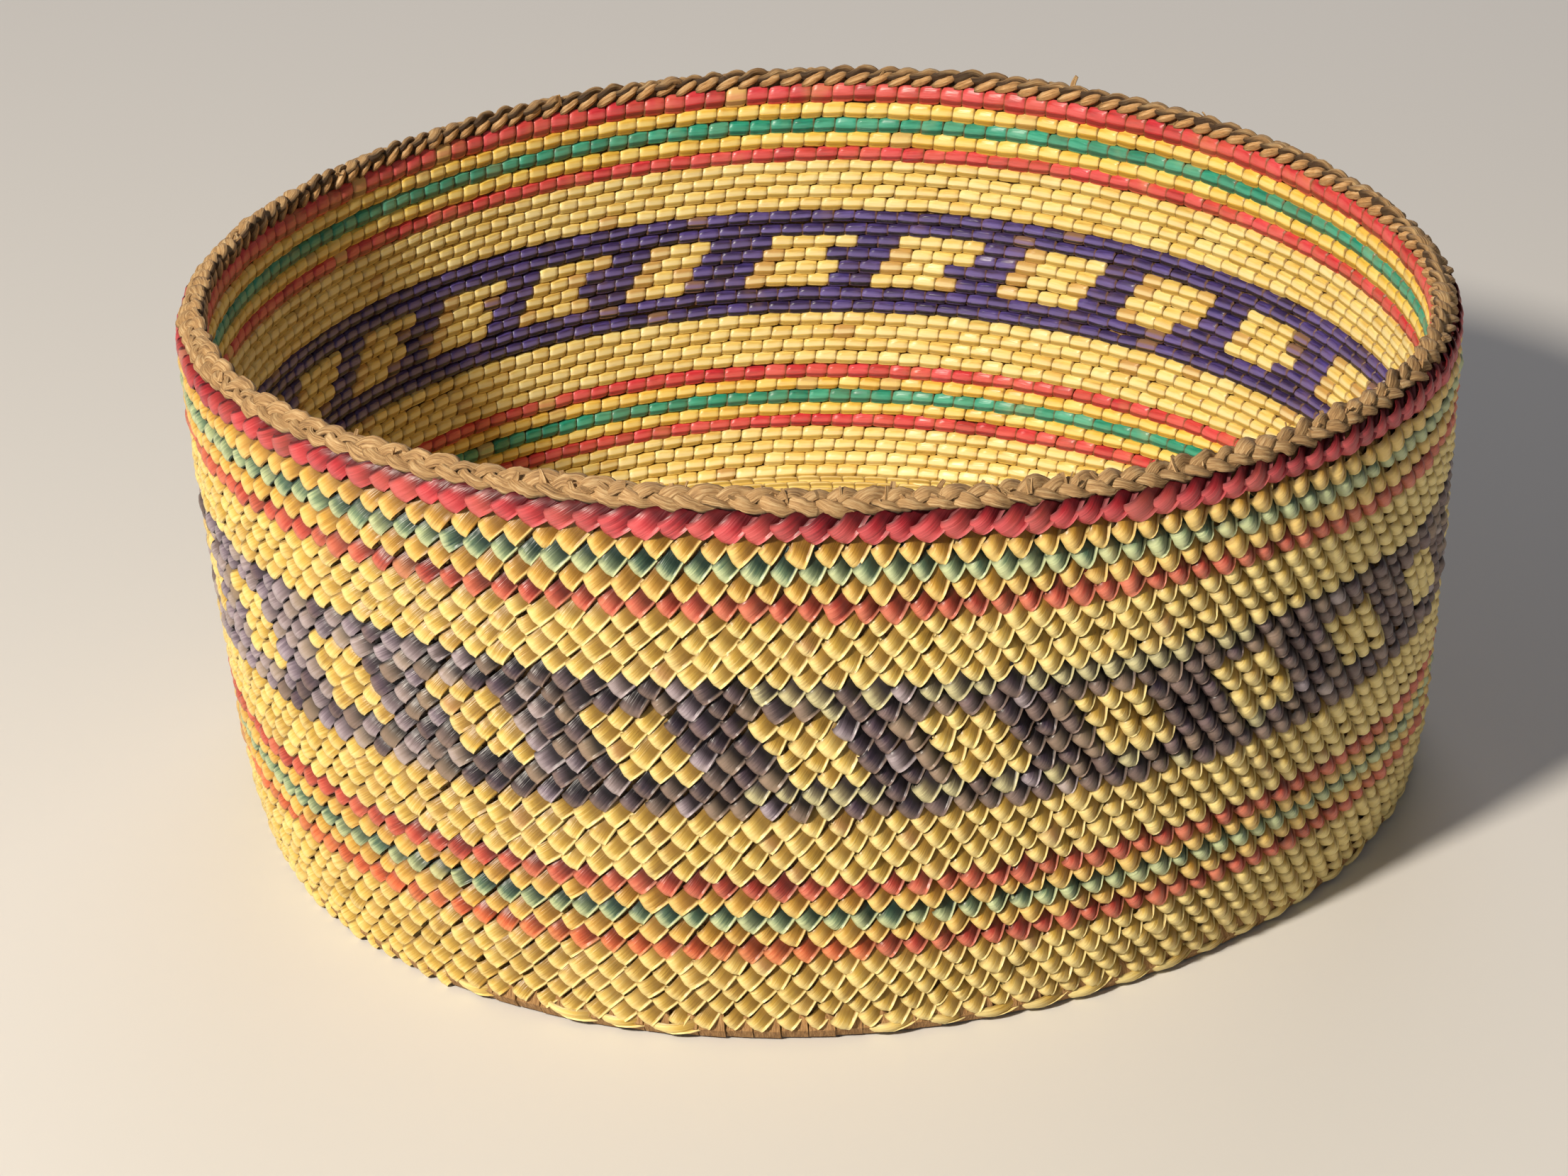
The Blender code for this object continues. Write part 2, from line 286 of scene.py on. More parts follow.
# Wrapped stitches on the outside of the wall: each is a split leaf of bear grass that comes
# down from under the row above, folds at its lower left and goes back under itself.
strap = {
    "section": [  # along the strap in lip lengths, and out from the wall in mm
        (0.32, -1.02), (0.08, -0.88), (-0.01, -0.56), (0.02, -0.22), (0.12, 0.04),
        (0.27, 0.15), (0.46, 0.03), (0.70, -0.36), (1.0, -0.90), (1.34, -1.18),
    ],
    "lipLevel": [-1.02, -0.88, -0.56, -0.22, -0.01, 0.09, 0.04, -0.17, -0.56, -1.0],  # at its open edge
    "across": [0.0, 0.12, 0.38, 0.64, 0.84, 1.0],  # the lists below have a value for each of these
    "edge": [-0.12, 0.0, 0.06, 0.02, -0.14, 0.02],  # rise over the width, in mm
    "roundEdge": [-0.38, -0.06, 0.11, 0.05, -0.16, 0.0],
    "snugEdge": [-0.20, -0.01, 0.07, 0.03, -0.06, -0.30],
    "rounding": [0.05, 0.0, 0.0, 0.0, 0.03, 0.13],  # the fold's corners draw back, in lip lengths
    "lipShare": [0.0, 0.0, 0.0, 0.0, 0.2, 1.0],
    "snugAcross": [-0.5, 0.3, 0.8, 1.3, 1.5, -0.9],  # places the painted shade of the joint at the sides of a snug strap
    "thickness": 0.15 * mm,
    "widthMm": 2.2,
    "lipMm": 1.7,
    "snugLength": 0.75,
    "snugRounding": 1.5,
    "turnWobble": radians(6),
    "mostTurn": 0.25,
    "sizeWobble": 0.07,
    "sizeSpan": (-0.09, 0.15),
    "sizeOutMm": 1.2,  # a strap that is larger by its own size stands out by this much
}
strapDiffers = {"foldAcross": (0.95, 1.05), "foldDown": (0.94, 1.06), "aside": (-0.03, 0.03),
                "upward": (-0.05, 0.05), "lip": (0.55, 1.15), "bulge": (0.88, 1.08), "outMm": (-0.07, 0.05),
                "tipMm": (-0.12, 0.12)}  # how far one stitch differs from the next
stitchForms = {  # corners in warps and row heights, from the middle of the cell
    "diamond": {"left": (-0.57, 0.06), "fold": (0.44, -0.88), "lip": (0.54, 0.84), "bow": 0.0,
                "ceiling": 9, "round": 1.0},
    "topWrap": {"left": (-0.68, 0.12), "fold": (0.50, -0.74), "lip": (1.10, 0.86), "bow": 0.05,
                "ceiling": 0.62, "round": 0.15},
    "footWrap": {"left": (-1.08, 0.26), "fold": (0.36, -0.62), "lip": (1.85, 0.66), "bow": 0.22,
                 "ceiling": 0.75, "round": 0.3},
}
plainSide = (radians(-146), radians(-118))  # left of this span the straps lie snug, without a raised edge
roundSide = (radians(-102), radians(-62))  # right of this span they are pulled tight and stand up round


def strapPoints(formName, turn, height, rowHeight, wild=1.0):
    form = stitchForms[formName]
    count = len(turn)
    start, rise = [lengthwise(values) for values in zip(*strap["section"])]
    place = crosswise(strap["across"])
    angle = frontAngle(turn)
    raised = np.interp(angle, plainSide, (0, 1))[:, None, None]
    tight = form["round"] * np.interp(angle, roundSide, (0, 1))[:, None, None]
    edge = crosswise(strap["edge"]) * (1 - tight) + crosswise(strap["roundEdge"]) * tight
    edge = edge * raised + crosswise(strap["snugEdge"]) * (1 - raised)
    rounding = crosswise(strap["rounding"]) * (strap["snugRounding"] - (strap["snugRounding"] - 1) * raised)
    reach = start + rounding * np.clip(1 - start / strap["section"][-1][0], 0, 1)
    bow = form["bow"] * np.sin(pi * np.clip(reach, 0, 1))
    foldAcross = form["fold"][0] * place * vary(count, strapDiffers["foldAcross"])
    foldDown = form["fold"][1] * place * vary(count, strapDiffers["foldDown"])
    side = form["left"][0] + foldAcross + form["lip"][0] * reach + bow
    up = form["left"][1] + foldDown + form["lip"][1] * reach - bow * 0.6
    wobble = chance.normal(0, wild * strap["turnWobble"], count)[:, None, None]
    wobble = np.clip(wobble, -strap["mostTurn"], strap["mostTurn"])
    size = 1 + np.clip(chance.normal(0, wild * strap["sizeWobble"], count), *strap["sizeSpan"])[:, None, None]
    wide, tall = side * basket["stitchMm"], up * rowHeight / mm
    side = (wide * np.cos(wobble) - tall * np.sin(wobble)) * size / basket["stitchMm"]
    side = side + vary(count, strapDiffers["aside"])
    up = (wide * np.sin(wobble) + tall * np.cos(wobble)) * size * mm / rowHeight
    up = np.minimum(up + vary(count, strapDiffers["upward"]), form["ceiling"])
    lip = crosswise(strap["lipShare"]) * raised * vary(count, strapDiffers["lip"])
    out = rise * (1 - lip) + lengthwise(strap["lipLevel"]) * lip + edge
    out = out * vary(count, strapDiffers["bulge"]) + vary(count, strapDiffers["outMm"])
    out = out + (size - 1) * strap["sizeOutMm"] + vary(count, strapDiffers["tipMm"]) * (place - 0.5)
    side, up, out = np.broadcast_arrays(side, up, out)
    angle = handAngle(turn[:, None, None] + side * warpPitch)
    points = onWall(angle, out, height[:, None, None] + up * rowHeight)
    alongMm = start * strap["lipMm"] * (strap["snugLength"] + (1 - strap["snugLength"]) * raised)
    acrossMm = place * strap["widthMm"] * raised + crosswise(strap["snugAcross"]) * (1 - raised)
    grain = grainOf(acrossMm, alongMm, side.shape)
    return points, np.concatenate([grain, grain], 1)


# The inside of each wrap: a short rounded dash across the warp
dash = {
    "length": 1.03,  # in stitches
    "height": 1.13,  # in rows
    "bulgeMm": 0.52,
    "baseMm": -2.35,  # from the outside of the wall
    "back": -0.5,  # the side that lies on the warp is flat from here
    "stations": [-0.5, -0.43, -0.24, 0.0, 0.24, 0.43, 0.5],
    "fullness": [0.64, 0.91, 1.0, 1.0, 1.0, 0.91, 0.64],
    "around": 8,
    "slant": 0.16,
    "turnMm": 0.35,  # grass on one radian of the way round
    "purplePlump": 0.9,
}
dashDiffers = {"length": (0.95, 1.03), "height": (0.90, 1.06), "aside": (-0.02, 0.02),
               "upward": (-0.04, 0.04), "tilt": (-0.08, 0.08), "bulge": (0.88, 1.1),
               "flatHeight": (0.92, 1.08), "flatBulge": (0.9, 1.1)}
dashFaces = tubeFaces(len(dash["stations"]), dash["around"])
perDash = len(dash["stations"]) * dash["around"]


def dashPoints(turnRound, height, rowHeight, plump=1.0):
    count = len(turnRound)
    station, full = lengthwise(dash["stations"]), lengthwise(dash["fullness"])
    turn = crosswise(ringTurns(dash["around"]))
    long = dash["length"] * vary(count, dashDiffers["length"])
    tall = plump * dash["height"] / 2 * vary(count, dashDiffers["height"])
    side = station * long + vary(count, dashDiffers["aside"]) + dash["slant"] * np.sin(turn) * full * tall
    up = np.sin(turn) * full * tall + vary(count, dashDiffers["upward"])
    up = up + station * vary(count, dashDiffers["tilt"])
    bulge = np.maximum(np.cos(turn), dash["back"]) * full * dash["bulgeMm"]
    out = dash["baseMm"] - bulge * vary(count, dashDiffers["bulge"])
    side, up, out = np.broadcast_arrays(side, up, out)
    angle = handAngle(turnRound[:, None, None] - side * warpPitch)
    points = onWall(angle, out, height[:, None, None] + up * rowHeight)
    grain = grainOf(turn * dash["turnMm"], side * basket["stitchMm"], side.shape)
    return points.reshape(count, -1, 3), grain


# Materials
def linear(hexColour):
    parts = [int(hexColour[at:at + 2], 16) / 255 for at in (0, 2, 4)]
    return [p / 12.92 if p <= 0.04045 else ((p + 0.055) / 1.055) ** 2.4 for p in parts] + [1]


def addNode(tree, kind, settings=None, inputs=None, stops=()):
    node = tree.nodes.new("ShaderNode" + kind)
    for name, value in (settings or {}).items():
        setattr(node, name, value)
    for name, value in (inputs or {}).items():
        if isinstance(value, bpy.types.NodeSocket):
            tree.links.new(value, node.inputs[name])
        else:
            node.inputs[name].default_value = value
    if stops:
        ramp = node.color_ramp
        while len(ramp.elements) < len(stops):
            ramp.elements.new(0.5)
        for element, (place, colour) in zip(ramp.elements, stops):
            element.position = place
            element.color = linear(colour)
    return node


def startMaterial(name, roughness):
    material = bpy.data.materials.new(name)
    material.use_nodes = True
    tree = material.node_tree
    tree.nodes.clear()
    output = addNode(tree, "OutputMaterial")
    shader = addNode(tree, "BsdfPrincipled", inputs={"Roughness": roughness})
    tree.links.new(shader.outputs[0], output.inputs[0])
    return material, tree, shader


def layOver(tree, colour, towards, value, span=None, share=1.0):  # a second colour, where the value says
    factor = value
    if span:
        mask = addNode(tree, "MapRange", {"interpolation_type": "SMOOTHSTEP"},
                       {"Value": value, "From Min": span[0], "From Max": span[1], "To Min": 0.0,
                        "To Max": share})
        factor = mask.outputs[0]
    mixed = addNode(tree, "Mix", {"data_type": "RGBA", "blend_type": "MIX"},
                    {"Factor": factor, 6: colour, 7: linear(towards)})
    return mixed.outputs[2]


def endMaterial(tree, shader, colour, relief, strength, reliefMm):
    tree.links.new(colour, shader.inputs["Base Color"])
    bump = addNode(tree, "Bump", {}, {"Strength": strength, "Distance": reliefMm * mm, "Height": relief})
    tree.links.new(bump.outputs[0], shader.inputs["Normal"])


# Split bear grass: flat leaf with fine ribs along it, a waxy satin face, dye taken unevenly.
# Folds and edges are worn pale and carry a painted highlight, and the part that dives under its neighbour is
# darkened with painted shade.
grassLook = {
    "ribMm": 0.19,  # a real rib is finer: it is drawn as coarse as it needs to show
    "reliefMm": 0.12,
    "patchesPerMetre": 210.0,  # patches about 5 mm wide, where the dye has faded
    "patch": (0.55, 0.78),
    "foldWearAndHighlight": (0.60, -0.10),  # spans in mm along the strap: the fold worn pale with a painted highlight, and painted shade under the row above
    "shadeUnderRow": (0.50, 1.40),
    "edgeWearAndHighlight": (1.88, 2.10),  # and across it: the lip worn pale with a painted highlight, and painted shade at the left edge and on snug joints
    "shadeAtEdge": (0.40, -0.12),
    "ridgeHighlight": (0.75, 1.0),  # on a dash: how far its surface faces inward, for the painted highlight on its crest and the painted shade on its sides
    "shadedSides": (0.45, -0.3),
    "barkAndShadeAtEnds": (1.08, 1.32),  # and mm from its middle, for the bark colour and painted shade at its ends
    "barkAndShadeBetween": "7C5C3A",
}


def bearGrass(name, colours, wearAndHighlightShare=0.6, shadeShare=0.85, inside=False, roughness=0.37):
    dark, body, light, worn, shadeColour, faded = colours.split()
    material, tree, shader = startMaterial("bearGrass" + name, roughness)
    grain = addNode(tree, "Attribute", {"attribute_name": "grain"})
    split = addNode(tree, "SeparateXYZ", inputs={0: grain.outputs["Vector"]})
    across, along, seed = split.outputs
    ribScale = addNode(tree, "VectorMath", {"operation": "MULTIPLY"},
                       {0: grain.outputs["Vector"], 1: (1 / grassLook["ribMm"], 0.35, 40)})
    ribs = addNode(tree, "TexNoise", {"noise_dimensions": "3D"},
                   {"Vector": ribScale.outputs[0], "Scale": 1.0, "Detail": 2.0, "Roughness": 0.6})
    place = addNode(tree, "TexCoord")
    patch = addNode(tree, "TexNoise", {},
                    {"Vector": place.outputs["Object"], "Scale": grassLook["patchesPerMetre"], "Detail": 3.0})
    ribTone = addNode(tree, "Math", {"operation": "MULTIPLY"}, {0: ribs.outputs["Fac"], 1: 0.75})
    tone = addNode(tree, "Math", {"operation": "MULTIPLY_ADD"}, {0: seed, 1: 0.30, 2: ribTone.outputs[0]})
    ramp = addNode(tree, "ValToRGB", inputs={0: tone.outputs[0]},
                   stops=[(0.22, dark), (0.50, body), (0.80, light)])
    fadeAndShade = addNode(tree, "Attribute", {"attribute_name": "fadeAndShade"})
    colour = layOver(tree, ramp.outputs["Color"], faded, fadeAndShade.outputs["Fac"])
    colour = layOver(tree, colour, faded, patch.outputs["Fac"], grassLook["patch"], 0.3)
    if inside:
        turn = addNode(tree, "Math", {"operation": "MULTIPLY"}, {0: across, 1: 1 / dash["turnMm"]})
        facing = addNode(tree, "Math", {"operation": "COSINE"}, {0: turn.outputs[0]})
        # Painted highlight on the crest of each dash, in the worn colour
        colour = layOver(tree, colour, worn, facing.outputs[0], grassLook["ridgeHighlight"], wearAndHighlightShare)
        # Painted shade on the top and bottom of each dash, where it rounds away
        colour = layOver(tree, colour, shadeColour, facing.outputs[0], grassLook["shadedSides"], shadeShare * 0.7)
        # Bark colour with painted shade at both ends of each dash, for the joint between dashes
        ends = addNode(tree, "Math", {"operation": "ABSOLUTE"}, {0: along})
        colour = layOver(tree, colour, grassLook["barkAndShadeBetween"], ends.outputs[0], grassLook["barkAndShadeAtEnds"], 0.8)
    else:
        streak = addNode(tree, "Math", {"operation": "MULTIPLY_ADD"},
                         {0: ribs.outputs["Fac"], 1: -0.6, 2: along})
        # Fold worn pale with a painted highlight, streaked along the ribs
        colour = layOver(tree, colour, worn, streak.outputs[0], grassLook["foldWearAndHighlight"], wearAndHighlightShare)
        # Painted shade on the part that dives under the row above
        colour = layOver(tree, colour, shadeColour, along, grassLook["shadeUnderRow"], shadeShare)
        # Lip worn pale with a painted highlight
        colour = layOver(tree, colour, worn, across, grassLook["edgeWearAndHighlight"], wearAndHighlightShare)
        # Painted shade along the left edge, where it tucks under its neighbour, and on the joints of snug
        # straps
        colour = layOver(tree, colour, shadeColour, across, grassLook["shadeAtEdge"], shadeShare)
    endMaterial(tree, shader, colour, ribs.outputs["Fac"], 0.6, grassLook["reliefMm"])
    return material


# Outside and inside of each dye, because the outside has faded in the light. The colours are
# dark, body and light of the ribs, then worn (wear and a painted highlight), deep (painted shade) and faded.
grasses = {
    "natural": (bearGrass("Straw", "9C7830 D8B24C EED27C F8E8A4 80622C BE9058", 0.7),
                bearGrass("StrawInside", "CFA850 EFD273 FBEBA4 FFF4C4 9C7A30 C79C58", inside=True)),
    "gold": (bearGrass("Golden", "986C28 D2A03E E8BE62 F6DC90 74501E B98A50", 0.65),
             bearGrass("GoldenInside", "CC9834 F2C850 FADF80 FFEEA8 94691F D8B468", inside=True)),
    "red": (bearGrass("Red", "6C101C B4222E D4464C E88A8C 380810 B87058", 0.25, roughness=0.4),
            bearGrass("RedInside", "98202C D2343F E65A62 F08A88 54101A E0B46E", 0.3, inside=True)),
    "lowRed": (bearGrass("RedLow", "7E2520 BE4638 D66A52 EA9A7C 461612 B87850", 0.4),
               bearGrass("RedLowInside", "98202C D2343F E65A62 F08A88 54101A E0B46E", 0.3, inside=True)),
    "orangeRed": (bearGrass("OrangeRed", "96361E D05C34 E4804E F2AE7C 521E10 B98650", 0.4), None),
    "green": (bearGrass("GreenFaded", "304E42 627E62 A4B888 D4DDAA 142C2A B0A870", 0.75, 0.95),
              bearGrass("GreenInside", "0B5C4C 179076 46B498 72CCB4 08332C C8C088", 0.3, inside=True)),
    "purple": (bearGrass("PurpleFaded", "1C1526 3E3040 665464 A48C7C 0B080E 98846C", 0.35, 0.95),
               bearGrass("PurpleInside", "150F30 31265F 5C4E9C 8A80C4 080512 9A7650", 0.5, 1.3, inside=True)),
    "lilac": (bearGrass("Lilac", "453A48 786A78 A292A0 CABEC2 1A141C AE9A80", 0.45, 0.95), None),
    "olive": (bearGrass("Olive", "544C44 8A8264 B6AF84 DAD4A2 241E28 A08E64", 0.7, 0.95), None),
}

# Red cedar bark: dull brown, split in long fibres that catch the light
barkLook = {"fibreMm": 0.16, "reliefMm": 0.2, "roughness": 0.78}


def cedarBark(name, colours):  # dark, body and light of the fibres, and the painted shade of the crevices
    dark, body, light, creviceShade = colours.split()
    material, tree, shader = startMaterial("cedarBark" + name, barkLook["roughness"])
    grain = addNode(tree, "Attribute", {"attribute_name": "grain"})
    scale = addNode(tree, "VectorMath", {"operation": "MULTIPLY"},
                    {0: grain.outputs["Vector"], 1: (1 / barkLook["fibreMm"], 0.5, 40)})
    fibre = addNode(tree, "TexNoise", {},
                    {"Vector": scale.outputs[0], "Scale": 1.0, "Detail": 4.0, "Roughness": 0.7})
    ramp = addNode(tree, "ValToRGB", inputs={0: fibre.outputs["Fac"]},
                   stops=[(0.28, dark), (0.5, body), (0.76, light)])
    # Painted shade in the crevices, from a value per point that the braid and the nubs give
    shadeAmount = addNode(tree, "Attribute", {"attribute_name": "fadeAndShade"})
    colour = layOver(tree, ramp.outputs["Color"], creviceShade, shadeAmount.outputs["Fac"])
    endMaterial(tree, shader, colour, fibre.outputs["Fac"], 0.9, barkLook["reliefMm"])
    return material


cedarBrown = cedarBark("Warp", "664628 A07848 C6A070 3C2818")
cedarPale = cedarBark("Braid", "684A2E B48E5E E2C898 32221A")
cedarNub = cedarBark("TurnedEnd", "8A6238 D2A26A F2D6A8 5A3E22")

# Dyes of the rows. The blocks are three stitches of straw and three of purple, set off by the
# lean of the warps, and the purple rows have bundles that took the dye less well.
bundles = {"block": (["natural", "purple", "lilac"], ["natural", "purple"]),  # outside and inside
           "purple": (["purple", "olive", "lilac"], ["purple"]),
           "lowRed": (["lowRed", "orangeRed"], ["lowRed"])}
pattern = {"repeat": 6, "blockWidth": 3, "start": 1, "strawInside": 0.35}
blockFades = [  # stitch of the repeat, share of such stitches that have faded, and how far
    ("outside", 5, 0.6, 0.85),
    ("outside", 4, 0.2, 0.6),
    ("inside", 2, 0.75, 0.9),
    ("inside", 5, 0.35, 0.75),
]
fading = {"outside": 0.35, "inside": 0.12, "bareOutside": 0.012, "bareInside": 0.02,
          "purplePatchy": 0.4, "purpleDeep": 0.65, "purpleEven": 0.15, "purpleInside": 0.05,
          "purpleBareInside": 0.04, "purpleBareFade": 0.8}
olive = {"span": (radians(-97), radians(-48)), "rows": {21: 0.9, 15: 0.5}, "otherRows": 0.04}
orange = {"upTo": radians(-86), "belowRow": 6}  # the lowest red row is a more orange bundle as far as this
# The side towards the window has lost most of its purple
lilac = {"span": (plainSide[0], plainSide[1] + 0.25), "share": (0.8, 0.05), "fadeAndShade": 0.8}


def dyeOf(dye, rowNumber, turn, column):  # which of the bundles, and how faded, outside and inside
    count = len(column)
    angle = frontAngle(turn)
    odd = chance.uniform(0, 1, (6, count))
    outside, inside = np.zeros(count, int), np.zeros(count, int)
    fades = {"outside": fading["outside"] * odd[0] ** 3, "inside": fading["inside"] * odd[1]}
    fades["outside"][odd[2] < fading["bareOutside"]] = 1.0
    fades["inside"][odd[3] < fading["bareInside"]] = 1.0
    if dye == "block":
        step = (column + pattern["start"]) % pattern["repeat"]
        outside = (step >= pattern["blockWidth"]).astype(int)
        lastStitch = step == pattern["repeat"] - 1
        inside = np.where(lastStitch & (odd[2] > pattern["strawInside"]), 0, outside)
        for side, stitch, share, amount in blockFades:
            chosen = odd[4] if side == "outside" else odd[5]
            fades[side][(step == stitch) & (chosen < share)] = amount
    if dye == "lowRed" and rowNumber < orange["belowRow"]:
        outside = (angle < orange["upTo"]).astype(int)
    if dye == "purple":
        share = olive["rows"].get(rowNumber, olive["otherRows"])
        outside = ((angle > olive["span"][0]) & (angle < olive["span"][1]) & (odd[4] < share)).astype(int)
        patchy = fading["purpleDeep"] * odd[0] + fading["purpleEven"]
        fades["outside"] = np.where(odd[5] < fading["purplePatchy"], patchy, fading["purpleEven"] * odd[0])
        bare = odd[3] < fading["purpleBareInside"]
        fades["inside"] = np.where(bare, fading["purpleBareFade"], fading["purpleInside"])
    if dye in ("purple", "block"):
        paler = odd[1] < np.interp(angle, lilac["span"], lilac["share"])
        paler = paler & ((dye == "purple") | (outside == 1))
        outside[paler] = 2
        fades["outside"][paler] = lilac["fadeAndShade"] * odd[0][paler] ** 2
    return outside, inside, fades["outside"], fades["inside"]


# Rows of stitches, one piece for each course on either side of the wall
rowWaves = [(0.06, 3, 1.0), (0.05, 7, 2.3)]  # mm up and down, times round the wall, shift from row to row
wildness = {"purple": 1.4, "block": 1.4}  # these rows were twined less evenly


def buildCourse(node, dye, firstRow, middles, rowHeight):
    straps, strapGrains, dashes, dashGrains, dyes = [], [], [], [], []
    column = np.arange(basket["warps"])
    plump = dash["purplePlump"] if dye == "purple" else 1.0
    for rowNumber, rowMiddle in enumerate(middles, firstRow):
        fromTop = rowCount - 1 - rowNumber
        turn = (column + spacing["phase"] + basket["warpLean"] * fromTop) * warpPitch
        waves = [size * mm * np.sin(turn * times + rowNumber * shift) for size, times, shift in rowWaves]
        height = rowMiddle + sum(waves)
        form = "topWrap" if fromTop == 0 else "diamond"
        points, grain = strapPoints(form, turn, height, rowHeight, wildness.get(dye, 1.0))
        straps.append(thicken(points, strap["thickness"]))
        strapGrains.append(grain)
        points, grain = dashPoints(turn, height, rowHeight, plump)
        dashes.append(points)
        dashGrains.append(grain)
        dyes.append(dyeOf(dye, rowNumber, turn, column))
    stitches = len(middles) * basket["warps"]
    outside, inside, fadeOut, fadeIn = [np.concatenate(values) for values in zip(*dyes)]
    outer, inner = bundles.get(dye, ([dye], [dye]))
    piece = makePiece(node + "_wraps", np.concatenate(straps), manyFaces(strapFaces, stitches, perStrap),
                      [grasses[name][0] for name in outer], np.repeat(outside, len(strapFaces)),
                      np.concatenate(strapGrains), np.repeat(fadeOut, perStrap))
    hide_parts(node)
    piece = makePiece(node + "_inside", np.concatenate(dashes), manyFaces(dashFaces, stitches, perDash),
                      [grasses[name][1] for name in inner], np.repeat(inside, len(dashFaces)),
                      np.concatenate(dashGrains), np.repeat(fadeIn, perDash))
    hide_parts("passive_weft_lining")


strapFaces = solidSheetFaces(len(strap["section"]), len(strap["across"]))
perStrap = 2 * len(strap["section"]) * len(strap["across"])
rowNumber = 0
for node, dye, rows, rowHeight in courses:
    buildCourse(node, dye, rowNumber, rowMiddles()[rowNumber:rowNumber + rows], rowHeight)
    rowNumber += rows
print("wall stitched:", rowNumber, "rows")

# Warps: close-set strips of cedar bark, out along the floor and up the wall, all leaning one way
warp = {
    "width": 1.04,  # in warps
    "thicknessMm": 0.5,
    "depthMm": 1.55,  # behind the outside of the wall
    "footDepthsMm": [0.42, 0.26, 0.75],
    "footHeights": [0.0005, 0.0012, 0.0022],
    "wallStart": 0.0034,
    "overTop": 0.0007,
    "wallStations": 16,
    "floorStart": 0.0203,
    "floorStations": 6,
    "floorLevel": 0.00195,
    "turnInset": 0.0035,
    "aside": 0.1,
    "unevenMm": 0.05,
    "grainMm": 2.4,
}


def buildWarps():
    count = basket["warps"]
    columns = np.arange(count)[:, None]
    wallHeights = np.linspace(warp["wallStart"], wallTop + warp["overTop"], warp["wallStations"])
    heights = np.concatenate([warp["footHeights"], wallHeights])
    depths = np.concatenate([warp["footDepthsMm"], np.full(warp["wallStations"], warp["depthMm"])])
    fromTop = np.arange(rowCount - 1, -1, -1)
    lean = np.interp(heights, rowMiddles(), fromTop) * basket["warpLean"]
    onFloor = warp["floorStations"]
    floorRadii = np.linspace(warp["floorStart"], basket["footRadius"] - warp["turnInset"], onFloor)
    radii = np.concatenate([floorRadii, wallRadius(heights) - depths * mm])
    levels = np.concatenate([np.full(onFloor, warp["floorLevel"]), heights])
    leans = np.concatenate([np.full(onFloor, lean[0]), lean])
    angle = handAngle((columns + leans[None, :] + spacing["phase"] + warp["aside"]) * warpPitch)
    offset = np.where(columns % 2 == 0, 1, -1) * warp["unevenMm"] * mm
    path = unevenShape(angle, radii[None, :] + offset, np.broadcast_to(levels, angle.shape)) - middle
    steep = np.clip((np.arange(len(levels)) - onFloor + 1) / 2, 0, 1)[None, :, None]
    radial = np.stack([np.cos(angle), np.sin(angle), np.zeros_like(angle)], -1)
    outward = unit(radial * steep + np.array([0, 0, -1.0]) * (1 - steep))
    across, normal = frameAlong(path, outward)
    half = radii[None, :] * warpPitch * warp["width"] / 2 * np.ones((count, 1))
    points = ribbonPoints(path, across, normal, half, warp["thicknessMm"] * mm)
    stations = len(levels)
    alongMm = np.arange(stations) * basket["stitchMm"]
    grain = ribbonGrain(points, warp["grainMm"], alongMm, vary(count, (0, 1)))
    faces = manyFaces(ribbonFaces(stations), count, stations * 4)
    piece = makePiece("cedar_warp_strips", points, faces, [cedarBrown], grain=grain)
    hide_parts("cedar_bark_warps")


buildWarps()

# Floor: twined rounds of dashes, laid flat, inside and underneath
floorRounds = {
    "firstRadius": 0.0163,
    "inside": {"lastRadius": 0.0568, "roundMm": 1.54, "level": 0.0031, "bulgeMm": 0.5},
    "underside": {"lastRadius": 0.0556, "roundMm": 2.3, "level": 0.0010, "bulgeMm": -0.62},
    "pieces": 3,
}


def flatDashes(radius, layer):
    count = int(round(2 * pi * radius / (basket["stitchMm"] * mm)))
    angle = (np.arange(count) + chance.uniform(0, 1)) * 2 * pi / count
    station, full = lengthwise(dash["stations"]), lengthwise(dash["fullness"])
    turn = crosswise(ringTurns(dash["around"]))
    tall = dash["height"] / 2 * vary(count, dashDiffers["flatHeight"])
    side = station * dash["length"] * vary(count, dashDiffers["length"])
    side = side + dash["slant"] * np.sin(turn) * full * tall
    out = radius + np.sin(turn) * full * tall * layer["roundMm"] * mm
    bulge = np.maximum(np.cos(turn), dash["back"]) * full * layer["bulgeMm"] * mm
    up = layer["level"] + bulge * vary(count, dashDiffers["flatBulge"])
    side, out, up = np.broadcast_arrays(side, out, up)
    points = unevenShape(angle[:, None, None] + side * 2 * pi / count, out, up) - middle
    grain = grainOf(turn * dash["turnMm"], side * basket["stitchMm"], side.shape)
    return points.reshape(count, -1, 3), grain


def buildRounds(side, material, nodes):  # the rounds of one side, in three pieces
    layer = floorRounds[side]
    radii = np.arange(floorRounds["firstRadius"], layer["lastRadius"], layer["roundMm"] * mm)
    for number, share in enumerate(np.array_split(radii, floorRounds["pieces"])):
        rounds = [flatDashes(radius, layer) for radius in share]
        points, grain = [np.concatenate(parts) for parts in zip(*rounds)]
        faces = manyFaces(dashFaces, len(points), perDash)
        name = f"floor_{side}_rounds_{number + 1}"
        piece = makePiece(name, points, faces, [material], grain=grain)
        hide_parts(nodes[number])
    print("floor twined", side + ":", len(radii), "rounds")


buildRounds("inside", grasses["natural"][1], ["passive_weft_lining"] * floorRounds["pieces"])
buildRounds("underside", grasses["natural"][0], ["floor_rounds_1", "floor_rounds_2", "floor_rounds_3"])

# Middle of the floor: cedar bark strips plaited over one and under one
plait = {
    "each": 7,
    "pitch": 0.0056,
    "width": 0.0053,
    "thickness": 0.00034,
    "lift": 0.00040,
    "flatness": 1.6,  # of the strip where it lies over or under another
    "radius": 0.020,
    "level": 0.00195,
    "stations": 61,
    "sway": (0.00006, 900),  # metres to either side, and waves along the strip
    "widthWave": (0.03, 1400),
}


